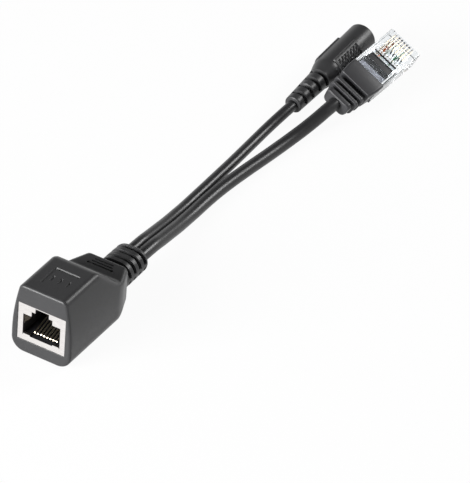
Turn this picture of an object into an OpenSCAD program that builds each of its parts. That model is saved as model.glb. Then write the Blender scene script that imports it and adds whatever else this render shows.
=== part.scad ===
// Power-over-network adapter lead: a moulded housing with a network jack, and two short
// leads that leave it through one strain relief, one to a power socket and one to a network plug.
// X runs across the jack, Y along the leads, Z up. The origin is on the surface it lies on,
// under the middle of the housing with its strain relief.

/* [Housing] */
// Widest width of the housing
housing_width = 19.4; // [18:0.1:24]
// Width across the flat top
housing_top_width = 15.6; // [12:0.1:17]
// Height of the housing
housing_height = 22.6; // [20:0.1:28]
// Length of the housing without its strain relief
housing_length = 34; // [33:0.5:46]
// Length of the flat top, from the front
top_length = 17; // [12:0.5:22]
// Length of the slope between the flat top and the lower flat
slope_length = 9.5; // [6:0.5:10.5]
// Height of the lower flat behind the slope
lower_flat_height = 14; // [11.5:0.1:15]
// Width of the rear end, between its chamfered corners
rear_width = 13.4; // [12:0.1:16]
// Length of the chamfered rear corners
rear_chamfer_length = 7.5; // [3:0.5:9]
// Radius of the long lower edges
lower_edge_r = 4.2; // [2:0.1:5]
// Radius of the long upper edges
upper_edge_r = 1.3; // [0.5:0.1:2.5]
// Width of the engraved lines
engraving_width = 0.45; // [0.3:0.05:0.7]
// Depth of the engraved lines
engraving_depth = 0.25; // [0.15:0.05:0.5]

/* [Strain relief] */
// Length of the strain relief behind the housing
relief_length = 13.8; // [11:0.1:18]
// Width of the strain relief
relief_width = 10.6; // [9.6:0.1:12]
// Height of the strain relief
relief_height = 8; // [6:0.1:9]
// Height of its middle above the surface
relief_axis_height = 6.7; // [5:0.1:8]
// Number of grooves along it
relief_grooves = 4; // [2:1:6]
// Width of each groove
relief_groove_width = 1.05; // [0.8:0.05:1.6]
// Depth of each groove
relief_groove_depth = 0.9; // [0.4:0.1:1.1]
// Width of the rib left across the grooves
relief_rib_width = 1.2; // [0.8:0.1:2]

/* [Network jack] */
// Width of the metal shield
shield_width = 15.4; // [15:0.1:16.2]
// Height of the metal shield
shield_height = 12.2; // [12:0.1:13.5]
// Depth of the metal shield
shield_depth = 17; // [16:0.5:20]
// Thickness of the shield's sheet
shield_sheet = 0.3; // [0.2:0.05:0.5]
// Height of the shield's lower edge above the surface
shield_base_height = 4.3; // [3.2:0.1:6]
// How far the shield sits behind the housing's front face
shield_recess = 0.2; // [0:0.1:1]
// Width of the port
port_width = 12.1; // [11.9:0.1:12.6]
// Height of the port's main opening
port_height = 7; // [6.8:0.1:7.2]
// Height of the port's floor above the shield's lower edge
port_floor = 1.77; // [1.6:0.01:2]
// Width of the step above the main opening
step_width = 6.8; // [6.4:0.1:7.2]
// Height of the step above the main opening
step_height = 1.6; // [1.2:0.1:1.8]
// Width of the latch notch above the step
notch_width = 4.4; // [4:0.1:4.8]
// Height of the latch notch above the step
notch_height = 1.5; // [1:0.1:1.5]
// Depth of the port behind the shield's front
port_depth = 13.4; // [12:0.1:14]
// Spacing of the contacts, in the jack and in the plug
contact_pitch = 1.016; // [1:0.001:1.05]
// Width of each jack contact
contact_width = 0.46; // [0.35:0.01:0.55]
// Thickness of each jack contact
contact_thickness = 0.32; // [0.2:0.02:0.4]
// Slope of the contacts, in degrees
contact_slope = 16; // [10:1:20]

/* [Leads] */
// Diameter of the power lead
power_lead_d = 3.4; // [3:0.1:3.5]
// Diameter of the network lead
network_lead_d = 4; // [3.7:0.1:4]
// Diameter of an insulated data wire
data_wire_d = 0.9; // [0.7:0.05:1]
// Diameter of an insulated power wire
power_wire_d = 1; // [0.8:0.05:1.1]

/* [Power socket] */
// Diameter of the socket's barrel
barrel_d = 9; // [8.8:0.1:11]
// Length of the barrel
barrel_length = 21.7; // [20:0.1:26]
// Length of the shoulder behind the barrel
shoulder_length = 4.1; // [2:0.1:6]
// Length of the socket's own strain relief
socket_relief_length = 15.2; // [12:0.1:20]
// Diameter of that strain relief where it meets the shoulder
socket_relief_large_d = 6.6; // [6:0.1:7]
// Diameter of that strain relief where the lead leaves
socket_relief_small_d = 5.5; // [5.2:0.1:6]
// Height of the raised grips on the barrel's sides
grip_height = 0.4; // [0.2:0.05:0.8]
// Outer diameter of the insulator
insulator_d = 7.6; // [7.4:0.1:7.8]
// Bore for the plug
socket_bore_d = 5.7; // [5.6:0.05:5.9]
// Depth of the bore
socket_bore_depth = 9.5; // [9:0.1:12]
// Diameter of the centre pin
centre_pin_d = 2.1; // [2.1:0.4:2.5]

/* [Network plug] */
// Width of the plug
plug_width = 11.68; // [11.5:0.01:11.8]
// Height of the plug's body
plug_height = 6.6; // [6.4:0.1:6.8]
// Length of the plug's clear body
plug_length = 22.5; // [21.5:0.1:23]
// How far the boot reaches over the clear body
boot_overlap = 3.1; // [2.5:0.1:5]
// Length of the boot
boot_length = 15.3; // [14:0.1:20]
// Width of the boot
boot_width = 12.2; // [12:0.1:13]
// Height of the boot
boot_height = 7.3; // [7.1:0.1:8]
// Depth of the grooves between the boot's ribs
boot_groove_depth = 1.2; // [0.6:0.1:1.2]
// How far the latch guard reaches in front of the boot
guard_reach = 12.6; // [8:0.1:14]
// Width of the latch guard
guard_width = 9.2; // [7:0.1:10]
// Thickness of the latch guard
guard_thickness = 0.85; // [0.6:0.1:1]

/* [Hidden] */
$fn = 48;
pin_count = 8;
cut = 0.5;               // how far a cutter runs past the face that it opens
fit_gap = 0.02;          // clearance between a seated piece and its seat
black = "#2b2b2d";
nickel = "#d8d4cc";
gold = "#d9b45a";
clear_grey = "#dfe6ea";
wire_colours = ["#f4efe6", "#b5622c", "#e8efe6", "#2f7f5a"];

// The housing stands with its front face at front_y and its strain relief ends at relief_end_y
front_y = -(housing_length + relief_length) / 2;
rear_y = front_y + housing_length;
relief_end_y = rear_y + relief_length;

// Jack
shield_front_y = front_y + shield_recess;
shield_rear_y = shield_front_y + shield_depth;
port_floor_z = shield_base_height + port_floor;
port_top_z = port_floor_z + port_height;
step_top_z = port_top_z + step_height;
notch_top_z = min(step_top_z + notch_height, shield_base_height + shield_height - 0.1);
insert_wall = shield_sheet + fit_gap;
contact_bend_r = 0.48;
contact_bend_y = 3;      // centre of the front bend, behind the shield's front
contact_reach = 10.6;    // where the free end stops, behind the shield's front
contact_root_z = -0.85;  // middle of the flat root, measured from the port's floor
contact_tail = 1.6;      // how far the tail stands out behind the shield
slot_clearance = 0.06;

// Chamber behind the jack, where the wires are soldered to the contact tails
chamber_width = 11;
chamber_floor_z = shield_base_height + 0.3;
chamber_top_z = 11.2;
chamber_rear_y = rear_y - 2.4;
lead_gap = 0.06;         // air between the two leads where they leave the relief
lead_spacing = (power_lead_d + network_lead_d) / 2 + lead_gap;
power_lead_x = -(network_lead_d + lead_gap) / 2;
network_lead_x = power_lead_x + lead_spacing;
power_bore_d = power_lead_d - 0.8;
network_bore_d = network_lead_d - 0.8;

// Where each lead enters its end piece, and how that piece lies
socket_exit = [-3.7, 118.4, 3.9];
socket_pitch = 3;
socket_yaw = 0;
socket_roll = -15;
plug_exit = [7.51, 123.69, 6.19];
plug_pitch = 4;
plug_yaw = 5;
plug_roll = 26;

function heading(pitch, yaw) = [sin(yaw) * cos(pitch), cos(yaw) * cos(pitch), sin(pitch)];

// Routes of the leads, as middle points from the strain relief to the end piece
power_route = [
    [power_lead_x, relief_end_y, relief_axis_height],
    [-2.1, 31.6, 6.4], [-2.4, 36.6, 5.5], [-2.8, 41.6, 4.5], [-3.2, 46.6, 3.5], [-3.6, 51.6, 2.7],
    [-3.9, 57.6, 2.05], [-4.1, 63.6, 1.8], [-4.2, 70.6, 1.75], [-4.3, 77.6, 1.75], [-4.4, 84.6, 1.75],
    [-4.6, 91.6, 1.75], [-4.8, 98.6, 1.8], [-4.8, 104.6, 2.1], [-4.5, 109.6, 2.7], [-4, 114.1, 3.45],
    socket_exit
];
network_route = [
    [network_lead_x, relief_end_y, relief_axis_height],
    [1.65, 31.6, 6.4], [1.35, 36.6, 5.5], [0.95, 41.6, 4.55], [0.55, 46.6, 3.6], [0.15, 51.6, 2.85],
    [-0.15, 57.6, 2.3], [-0.3, 63.6, 2.1], [-0.2, 69.6, 2.05], [0.2, 75.6, 2.05], [0.8, 81.6, 2.05],
    [1.5, 87.6, 2.05], [2.25, 93.6, 2.05], [3, 99.6, 2.15], [3.95, 105.6, 2.6], [5.1, 111.1, 3.5],
    [6.2, 116.1, 4.65], [6.9, 119.6, 5.54],
    plug_exit
];

// Ring of points round a middle point, square to a direction
function across(t) = let (n = cross(t, [0, 0, 1])) n / norm(n);
function ring(p, t, r, sides) =
    let (n = across(t), b = cross(n, t))
    [for (k = [0:sides - 1]) p + r * (cos(360 * k / sides) * n + sin(360 * k / sides) * b)];
function unit(v) = v / norm(v);
// Direction at a point of a route: the first and last are given, the others join the neighbours
function tangent(route, i, first, last) =
    i == 0 ? first : i == len(route) - 1 ? last : unit(route[i + 1] - route[i - 1]);

// Round tube swept along a route, closed at both ends
module tube(route, d, sides, first, last) {
    count = len(route);
    points = [for (i = [0:count - 1]) each ring(route[i], tangent(route, i, first, last), d / 2, sides)];
    walls = [for (i = [0:count - 2], k = [0:sides - 1])
        [i * sides + k, i * sides + (k + 1) % sides,
         (i + 1) * sides + (k + 1) % sides, (i + 1) * sides + k]];
    near = [for (k = [sides - 1:-1:0]) k];
    far = [for (k = [0:sides - 1]) (count - 1) * sides + k];
    polyhedron(points = points, faces = concat([near], walls, [far]), convexity = 6);
}

// Arc of points about a centre
function arc(c, r, from, to, steps) =
    [for (i = [0:steps]) let (a = from + (to - from) * i / steps) c + r * [cos(a), sin(a)]];
// Long shape with round ends, as points
function round_bar(w, h, steps = 16) =
    concat(arc([w / 2 - h / 2, 0], h / 2, -90, 90, steps), arc([-w / 2 + h / 2, 0], h / 2, 90, 270, steps));
// Rectangle with round corners, as points
function round_rect(w, h, r, steps = 6) = concat(
    arc([w / 2 - r, -h / 2 + r], r, -90, 0, steps), arc([w / 2 - r, h / 2 - r], r, 0, 90, steps),
    arc([-w / 2 + r, h / 2 - r], r, 90, 180, steps), arc([-w / 2 + r, -h / 2 + r], r, 180, 270, steps));
// Band of even thickness along a path of points
function band(path, t) =
    let (last = len(path) - 1,
         normals = [for (i = [0:last])
            let (d = unit(path[min(i + 1, last)] - path[max(i - 1, 0)])) [-d.y, d.x]])
    concat([for (i = [0:last]) path[i] + normals[i] * t / 2],
           [for (i = [last:-1:0]) path[i] - normals[i] * t / 2]);

// Extrusions: an outline drawn in X and Z is run along Y, one in Y and Z along X
module along_y(from, length) {
    translate([0, from + length, 0]) rotate([90, 0, 0]) linear_extrude(length) children();
}
module along_x(width) {
    translate([-width / 2, 0, 0]) rotate([90, 0, 90]) linear_extrude(width) children();
}

// Housing, with the solid form of each view cut from the others
module housing_section() {
    // Upright outline seen from the front: flat top, sides that swell, large lower corners
    side = housing_width / 2;
    top = housing_top_width / 2;
    swell_z = housing_height * 0.37;
    lean = atan2(side - top, housing_height - upper_edge_r - swell_z);
    bulge = 0.28;
    half = concat(
        arc([side - lower_edge_r, lower_edge_r], lower_edge_r, -90, 0, 10),
        [[side, swell_z], [(side * 0.62 + top * 0.38) + bulge, swell_z + (housing_height - swell_z) * 0.42]],
        arc([top - upper_edge_r, housing_height - upper_edge_r], upper_edge_r, lean, 90, 6));
    polygon(concat(half, [for (i = [len(half) - 1:-1:0]) [-half[i].x, half[i].y]]));
}
module housing_side() {
    // Outline seen from the side: flat top, slope, lower flat, each bend eased by a short chord
    ease = 0.7;
    slope_foot = front_y + top_length + slope_length;
    slope = [slope_length, lower_flat_height - housing_height] / norm([slope_length, housing_height - lower_flat_height]);
    crest = [front_y + top_length, housing_height];
    foot = [slope_foot, lower_flat_height];
    polygon([
        [front_y, 0], [front_y, housing_height], crest - [ease, 0], crest + [0.2, -0.09] * ease, crest + slope * ease,
        foot - slope * ease, foot + [0.15, 0.07] * ease, foot + [ease, 0],
        [rear_y - 0.4, lower_flat_height], [rear_y, lower_flat_height - 0.4], [rear_y, 0]
    ]);
}
module housing_plan() {
    // Outline seen from above: square front, chamfered rear corners with a small round
    side = housing_width / 2;
    rear = rear_width / 2;
    c = rear_y - rear_chamfer_length;
    half = [[side, front_y], [side, c - 0.6], [side - 0.1, c + 0.2],
            [rear + 0.15, rear_y - 0.5], [rear - 0.5, rear_y]];
    polygon(concat(half, [for (i = [len(half) - 1:-1:0]) [-half[i].x, half[i].y]]));
}
module relief_bar(w, h) { polygon(round_bar(w, h)); }
module strain_relief() {
    last_ring = 1.4;     // width of the ring behind the last groove
    root = 0.6;          // share of a groove's pitch that stays plain at the housing
    pitch = (relief_length - last_ring) / (relief_grooves + root);
    end_round = 1;
    translate([0, 0, relief_axis_height]) difference() {
        union() {
            along_y(rear_y - 1, relief_length + 1 - end_round) relief_bar(relief_width, relief_height);
            along_y(relief_end_y - end_round - 0.01, end_round * 0.6)
                relief_bar(relief_width - 0.5, relief_height - 0.5);
            along_y(relief_end_y - end_round, end_round) relief_bar(relief_width - 1.3, relief_height - 1.3);
        }
        // Grooves run round the relief and stop at a rib on each side
        for (i = [0:relief_grooves - 1])
            along_y(relief_end_y - last_ring - relief_groove_width - i * pitch, relief_groove_width) difference() {
                relief_bar(relief_width + 2 * cut, relief_height + 2 * cut);
                relief_bar(relief_width - 2 * relief_groove_depth, relief_height - 2 * relief_groove_depth);
                square([relief_width * 2, relief_rib_width], center = true);
            }
    }
}
module engraved_marks() {
    // A corner line and three short bars on the top face, three lines on the lower flat
    corner = [-3.4, front_y + 12];
    corner_run = 7.6;
    corner_back = 7.2;
    mark_y = front_y + 7.5;
    mark_length = 1.9;
    z = housing_height - engraving_depth;
    h = engraving_depth + cut;
    translate([corner.x, corner.y, z]) cube([corner_run, engraving_width, h]);
    translate([corner.x, corner.y - corner_back, z]) cube([engraving_width, corner_back + engraving_width, h]);
    for (i = [-1:1]) translate([0.8 + i * 2.6, mark_y, z + h / 2])
        cube([engraving_width, mark_length, h], center = true);
    grip_y = front_y + 29.8;
    grip_width = 7.4;
    grip_pitch = 1.15;
    gz = lower_flat_height - engraving_depth;
    for (i = [0:2]) translate([-(grip_width - i) / 2, grip_y + i * grip_pitch - engraving_width / 2, gz])
        cube([grip_width - i, engraving_width, h]);
    for (s = [-1, 1]) translate([s * grip_width / 2, grip_y, gz]) cylinder(d = engraving_width * 2, h = h, $fn = 24);
}
module housing() {
    color(black) difference() {
        union() {
            intersection() {
                along_y(front_y, housing_length) housing_section();
                along_x(housing_width) housing_side();
                linear_extrude(housing_height) housing_plan();
            }
            strain_relief();
        }
        // Seat of the shield, open at the front
        translate([-shield_width / 2 - fit_gap, front_y - cut, shield_base_height - fit_gap])
            cube([shield_width + 2 * fit_gap, shield_recess + shield_depth + cut + fit_gap, shield_height + 2 * fit_gap]);
        // Chamber behind the jack
        translate([-chamber_width / 2, shield_rear_y - cut, chamber_floor_z])
            cube([chamber_width, chamber_rear_y - shield_rear_y + cut, chamber_top_z - chamber_floor_z]);
        // Passages for the wires, one behind each lead
        for (p = [[power_lead_x, power_bore_d], [network_lead_x, network_bore_d]])
            translate([p.x, relief_end_y + cut, relief_axis_height]) rotate([90, 0, 0])
                cylinder(d = p.y, h = relief_end_y - chamber_rear_y + 2 * cut);
        engraved_marks();
    }
}

// Outline of the port, drawn in X and Z
module port_outline(grow = 0) {
    translate([-port_width / 2 - grow, port_floor_z - grow]) square([port_width + 2 * grow, port_height + 2 * grow]);
    translate([-step_width / 2 - grow, port_top_z - cut]) square([step_width + 2 * grow, step_height + cut + grow]);
    translate([-notch_width / 2 - grow, step_top_z - cut]) square([notch_width + 2 * grow, notch_top_z - step_top_z + cut]);
}
module side_spring(s) {
    // Curved finger folded back from the front edge into the port
    spring_height = 2.6;
    spring_z = port_floor_z + 3.4;
    path = [[-0.1, 0.1], [-0.1, 0.8], [0.1, 1.6], [0.35, 2.6], [0.45, 3.4], [0.35, 4.2], [0.1, 4.9]];
    translate([0, shield_front_y, spring_z]) linear_extrude(spring_height)
        polygon(band([for (p = path) [s * (port_width / 2 - p.x + 0.12), p.y]], shield_sheet * 0.8));
}
module floor_lip(s) {
    // Small lip folded back from the frame's lower edge, beside the contacts
    lip_width = 2.2;
    lip_reach = 0.9;
    lip_top = 0.35;
    translate([s * (port_width / 2 - 0.2 - lip_width / 2) - lip_width / 2, shield_front_y, port_floor_z]) {
        translate([0, 0, -0.1]) cube([lip_width, shield_sheet, lip_top + 0.1]);
        translate([0, 0, fit_gap]) cube([lip_width, lip_reach, lip_top - fit_gap]);
    }
}
module jack_shield() {
    color(nickel) {
        difference() {
            translate([-shield_width / 2, shield_front_y, shield_base_height])
                cube([shield_width, shield_depth, shield_height]);
            translate([-shield_width / 2 + shield_sheet, shield_front_y + shield_sheet, shield_base_height + shield_sheet])
                cube([shield_width - 2 * shield_sheet, shield_depth, shield_height - 2 * shield_sheet]);
            along_y(shield_front_y - cut, shield_sheet + 2 * cut) port_outline();
        }
        for (s = [-1, 1]) {
            side_spring(s);
            floor_lip(s);
        }
    }
}
module jack_insert() {
    inner_front = shield_front_y + insert_wall;
    width = shield_width - 2 * insert_wall;
    height = shield_height - 2 * insert_wall;
    slot_w = contact_width + 2 * slot_clearance;
    slot_depth = -contact_root_z + contact_thickness / 2 + slot_clearance;
    spring_pocket_y = 5.2;
    color("#26262a") difference() {
        translate([-width / 2, inner_front, shield_base_height + insert_wall])
            cube([width, shield_depth - insert_wall, height]);
        along_y(inner_front - cut, port_depth + cut) port_outline();
        // Room for the shield's side fingers, which bend back beside the port
        for (s = [-1, 1]) translate([s * (port_width / 2) - 0.35, inner_front - cut, port_floor_z + 3.2])
            cube([0.7, spring_pocket_y + cut, 3]);
        // A slot under each contact, open through the rear wall
        for (i = [0:pin_count - 1])
            translate([jack_x(i + 1) - slot_w / 2, shield_front_y + contact_bend_y - contact_bend_r - 0.6, port_floor_z - slot_depth])
                cube([slot_w, shield_depth, slot_depth + cut / 5]);
    }
}
function pin_x(n) = (n - (pin_count + 1) / 2) * contact_pitch;
// Seen from the front, contact 1 of the jack is on the right; in the plug, seen from its lead, it is on the left
function jack_x(n) = -pin_x(n);
// Contact seen from the side: tail, flat root, front bend, then the slope that the plug presses
function contact_path() =
    let (bend = [contact_bend_y, contact_root_z + contact_bend_r],
         slope_start = bend + contact_bend_r * [cos(90 + contact_slope), sin(90 + contact_slope)])
    concat(
        [[shield_depth + contact_tail, contact_root_z], [shield_depth / 2, contact_root_z]],
        arc(bend, contact_bend_r, -90, -270 + contact_slope, 10),
        [slope_start + (contact_reach - contact_bend_y) * [1, tan(contact_slope)]]);
module jack_contact(n) {
    color(gold) translate([jack_x(n), shield_front_y, port_floor_z])
        along_x(contact_width) polygon(band(contact_path(), contact_thickness));
}

// Wires from the contact tails to the leads. Each starts on a tail's end face, passes over or
// beside the others in the chamber, and ends on the face of its lead
tail_end_y = shield_rear_y + contact_tail;
tail_z = port_floor_z + contact_root_z;
data_offset = data_wire_d / 2 + 0.06;
power_offset = power_wire_d / 2 + 0.06;
function wire_route(x, mid_x, mid_z, end_x, end_z) = [
    [x, tail_end_y, tail_z], [x, tail_end_y + 1.2, tail_z], [mid_x, tail_end_y + 4.2, mid_z],
    [end_x, tail_end_y + 8.4, end_z], [end_x, chamber_rear_y, end_z], [end_x, relief_end_y, end_z]
];
module data_wire(n, mid_x, mid_z, sx, sz, c) {
    // The four data wires lie in a square inside the network lead's passage
    color(c) tube(wire_route(jack_x(n), mid_x, mid_z, network_lead_x + sx * data_offset, relief_axis_height + sz * data_offset),
        data_wire_d, 8, [0, 1, 0], [0, 1, 0]);
}
module power_wire(n, mid_x, mid_z, sz, c) {
    color(c) tube(wire_route(jack_x(n), mid_x, mid_z, power_lead_x, relief_axis_height + sz * power_offset),
        power_wire_d, 8, [0, 1, 0], [0, 1, 0]);
}

// Leads
module power_lead() {
    color(black) tube(power_route, power_lead_d, 8, [0, 1, 0], heading(socket_pitch, socket_yaw));
}
module network_lead() {
    color(black) tube(network_route, network_lead_d, 10, [0, 1, 0], heading(plug_pitch, plug_yaw));
}

// Power socket, drawn along its own Y axis from where the lead enters
module at_socket() {
    translate(socket_exit) rotate([socket_pitch, 0, -socket_yaw]) rotate([0, socket_roll, 0]) children();
}
socket_length = socket_relief_length + shoulder_length + barrel_length;
insulator_length = socket_bore_depth + 3;
module turned(outline) { rotate([-90, 0, 0]) rotate_extrude() polygon(outline); }
module socket_rings() {
    ring_count = 4;
    pitch = socket_relief_length / ring_count;
    ring_width = pitch * 0.64;
    core_d = power_lead_d + 0.9;
    grow = socket_relief_large_d - socket_relief_small_d;
    turned([[0, 0.2], [core_d / 2, 0.2], [core_d / 2, socket_relief_length + 0.5], [0, socket_relief_length + 0.5]]);
    for (i = [0:ring_count - 1]) {
        r1 = (socket_relief_small_d + grow * i / ring_count) / 2;
        r2 = (socket_relief_small_d + grow * (i + 0.64) / ring_count) / 2;
        y = i * pitch;
        turned([[0, y], [r1 - 0.3, y], [r1, y + 0.3], [r2, y + ring_width - 0.2], [r2 - 0.2, y + ring_width], [0, y + ring_width]]);
    }
    // Ribs that join the rings on two sides, turned away from the middle of the grips
    rib_turn = 40;
    rib_width = 1.6;
    for (s = [-1, 1]) rotate([0, rib_turn, 0])
        translate([s * (socket_relief_small_d / 2 - 0.75) - 0.45, 0.3, -rib_width / 2])
            cube([0.9, socket_relief_length, rib_width]);
}
module socket_grip() {
    // Raised pad along the barrel's side, cut by slanting grooves
    grip_length = 12.5;
    grip_start = socket_relief_length + shoulder_length + 1.3;
    grip_angle = 124;
    groove_pitch = 1.25;
    groove_width = 0.35;
    r = barrel_d / 2 + grip_height;
    difference() {
        translate([0, grip_start, 0]) rotate([-90, 0, 0]) cylinder(r = r, h = grip_length);
        // Keep only a slice at each side
        for (s = [-1, 1]) translate([-r - 1, grip_start - 1, s > 0 ? r * sin(grip_angle / 2) : -r - 1])
            cube([2 * r + 2, grip_length + 2, r * (1 - sin(grip_angle / 2)) + 1]);
        for (s = [-1, 1], i = [0:7])
            translate([s * (r + 1.6), grip_start + 1.6 + i * groove_pitch, 0]) rotate([28 * s, 0, 0])
                cube([4, groove_width, 2 * r], center = true);
    }
}
module power_socket() {
    barrel_start = socket_relief_length + shoulder_length;
    r = barrel_d / 2;
    edge = 0.5;
    color(black) at_socket() difference() {
        union() {
            socket_rings();
            turned([
                [0, socket_relief_length - 0.3], [socket_relief_large_d / 2, socket_relief_length - 0.3],
                [r - 0.5, barrel_start - 1], [r, barrel_start + 0.4],
                [r, socket_length - edge], [r - edge * 0.3, socket_length - edge * 0.3], [r - edge, socket_length], [0, socket_length]
            ]);
            socket_grip();
        }
        // Seat of the insulator, then a passage for the lead's wires
        translate([0, socket_length - insulator_length - fit_gap, 0]) rotate([-90, 0, 0])
            cylinder(d = insulator_d + 2 * fit_gap, h = insulator_length + cut);
    }
}
module socket_insulator() {
    rim = 0.3;
    start = socket_length - insulator_length;
    sleeve_d = socket_bore_d + 0.6;
    color("#1c1c1e") at_socket() difference() {
        translate([0, start, 0]) rotate([-90, 0, 0]) cylinder(d = insulator_d, h = insulator_length - rim);
        translate([0, socket_length - socket_bore_depth, 0]) rotate([-90, 0, 0])
            cylinder(d = socket_bore_d, h = socket_bore_depth + cut);
        // Seats of the sleeve contact and of the centre pin
        translate([0, socket_length - socket_bore_depth, 0]) rotate([-90, 0, 0])
            cylinder(d = sleeve_d + 2 * fit_gap, h = socket_bore_depth - 2);
        translate([0, start - cut, 0]) rotate([-90, 0, 0])
            cylinder(d = centre_pin_d + 2 * fit_gap, h = insulator_length + 2 * cut);
    }
}
module socket_sleeve() {
    sleeve_d = socket_bore_d + 0.6;
    length = socket_bore_depth - 2.1;
    color(nickel) at_socket() translate([0, socket_length - socket_bore_depth + 0.05, 0]) rotate([-90, 0, 0])
        difference() {
            cylinder(d = sleeve_d, h = length);
            translate([0, 0, -cut]) cylinder(d = socket_bore_d + 0.05, h = length + 2 * cut);
            // Slit that lets the sleeve spring
            translate([0, -sleeve_d, -cut]) cube([0.5, sleeve_d, length + 2 * cut]);
        }
}
module socket_pin() {
    tip = 0.5;
    start = socket_length - insulator_length;
    end = socket_length - 1;
    r = centre_pin_d / 2;
    color(nickel) at_socket()
        turned([[0, start], [r, start], [r, end - tip], [r - tip * 0.6, end], [0, end]]);
}

// Network plug, drawn along its own Y axis from where the lead enters the boot
module at_plug() {
    translate(plug_exit) rotate([plug_pitch, 0, -plug_yaw]) rotate([0, plug_roll, 0]) children();
}
plug_start = boot_length - boot_overlap;
plug_nose = plug_start + plug_length;
plug_cavity_w = 9.4;
plug_cavity_h = 4.3;
plug_cavity_length = 11.6;
clamp_start = plug_start + 7.6;
clamp_length = 3;
clamp_width = 8.8;
wire_row_z = 0;          // height of the row of wires inside the plug
wire_end = plug_nose - 2.2;
blade_length = 6;
blade_thickness = 0.34;
blade_height = 2.58;     // down to the wires
blade_front = plug_nose - 0.9;
blade_top = plug_height / 2 - 0.25;
guard_drop = 1.8;        // how far the guard's face lies below the boot
guard_bottom = -boot_height / 2 - guard_drop;
block_start = boot_length - 7.05;         // rear of the boot's smooth block

module slab(from, to, w, h, r) {
    along_y(from, to - from) polygon(round_rect(w, h, r));
}
module boot_ribs() {
    // A smooth block round the clear body, then three bars, each smaller than the one in front of
    // it, on a slimmer core that ends round behind the last bar
    bar_width = 1.15;
    bar_pitch = 2.35;
    first_bar = block_start - 3.05;
    last_bar = first_bar - 2 * bar_pitch;
    bar_inset = [[1, 0.8], [1.6, 1.25], [2.9, 1.9]];    // how much narrower and lower than the block
    rear_width = boot_width - 3.4;
    rear_round = 1.6;
    block_taper = 0.4;
    core_w = boot_width - bar_inset[0].x - 2 * boot_groove_depth - 0.8;
    core_h = boot_height - bar_inset[0].y - 2 * boot_groove_depth;
    slab(0.3, block_start + 1, core_w, core_h, 1.3);
    for (i = [0:2])
        slab(first_bar - i * bar_pitch, first_bar - i * bar_pitch + bar_width,
             boot_width - bar_inset[i].x, boot_height - bar_inset[i].y, 0.9);
    // The block narrows in plan from the clear body back
    intersection() {
        slab(block_start, boot_length, boot_width, boot_height, 0.7);
        translate([0, 0, -boot_height]) linear_extrude(2 * boot_height) polygon([
            [-boot_width / 2 + block_taper, block_start - 1], [boot_width / 2 - block_taper, block_start - 1],
            [boot_width / 2, plug_start], [boot_width / 2, boot_length + 1],
            [-boot_width / 2, boot_length + 1], [-boot_width / 2, plug_start]
        ]);
    }
    // Rear end, narrowed in plan by round corners
    intersection() {
        slab(0, last_bar + 0.2, rear_width, boot_height - 2.4, 1.4);
        translate([0, 0, -boot_height]) linear_extrude(2 * boot_height)
            polygon(concat(arc([rear_width / 2 - rear_round, rear_round], rear_round, -90, 0, 8),
                           [[rear_width / 2, 8], [-rear_width / 2, 8]],
                           arc([-rear_width / 2 + rear_round, rear_round], rear_round, 180, 270, 8)));
    }
}
module latch_guard() {
    // Thin tongue moulded with the boot, which reaches forward under the latch
    tip = boot_length + guard_reach;
    root = block_start;
    intersection() {
        along_x(guard_width) polygon([
            [root, -boot_height / 2 + 1], [root, -boot_height / 2 - 0.2], [root + 4.5, guard_bottom], [tip - 0.6, guard_bottom],
            [tip, guard_bottom + 0.4], [tip, guard_bottom + guard_thickness], [boot_length - 0.6, guard_bottom + guard_thickness],
            [boot_length - 0.6, -boot_height / 2 + 1]
        ]);
        translate([0, 0, -boot_height * 2]) linear_extrude(boot_height * 2)
            polygon([[-guard_width / 2, root - 1], [guard_width / 2, root - 1], [guard_width / 2, tip - 1.2],
                     [guard_width / 2 - 1.2, tip], [-guard_width / 2 + 1.2, tip], [-guard_width / 2, tip - 1.2]]);
    }
}
module boot_core() {
    // The moulding runs into the plug, fills the clamp recess and stops behind the wires' row
    g = fit_gap;
    end = plug_start + plug_cavity_length - 1.6;
    translate([-plug_cavity_w / 2 + g, plug_start - 0.5, -plug_cavity_h / 2 + g])
        cube([plug_cavity_w - 2 * g, end - plug_start + 0.5, plug_cavity_h - 2 * g]);
    translate([-clamp_width / 2 + g, clamp_start + g, 0])
        cube([clamp_width - 2 * g, clamp_length - 2 * g, plug_height / 2 - 0.6]);
}
module plug_boot() {
    color(black) at_plug() difference() {
        union() {
            difference() {
                union() {
                    boot_ribs();
                    latch_guard();
                }
                // Seat of the clear body
                translate([-plug_width / 2 - fit_gap, plug_start - fit_gap, -plug_height / 2 - fit_gap])
                    cube([plug_width + 2 * fit_gap, boot_overlap + cut, plug_height + 2 * fit_gap]);
            }
            boot_core();
        }
        // Passage for the wires: round behind the plug, then a flat slot for the row
        translate([0, -cut, 0]) rotate([-90, 0, 0]) cylinder(d = network_bore_d, h = plug_start - 1 + cut);
        translate([-4.3, plug_start - 3.6, -network_bore_d / 2]) cube([8.6, boot_length, network_bore_d]);
    }
}
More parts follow.
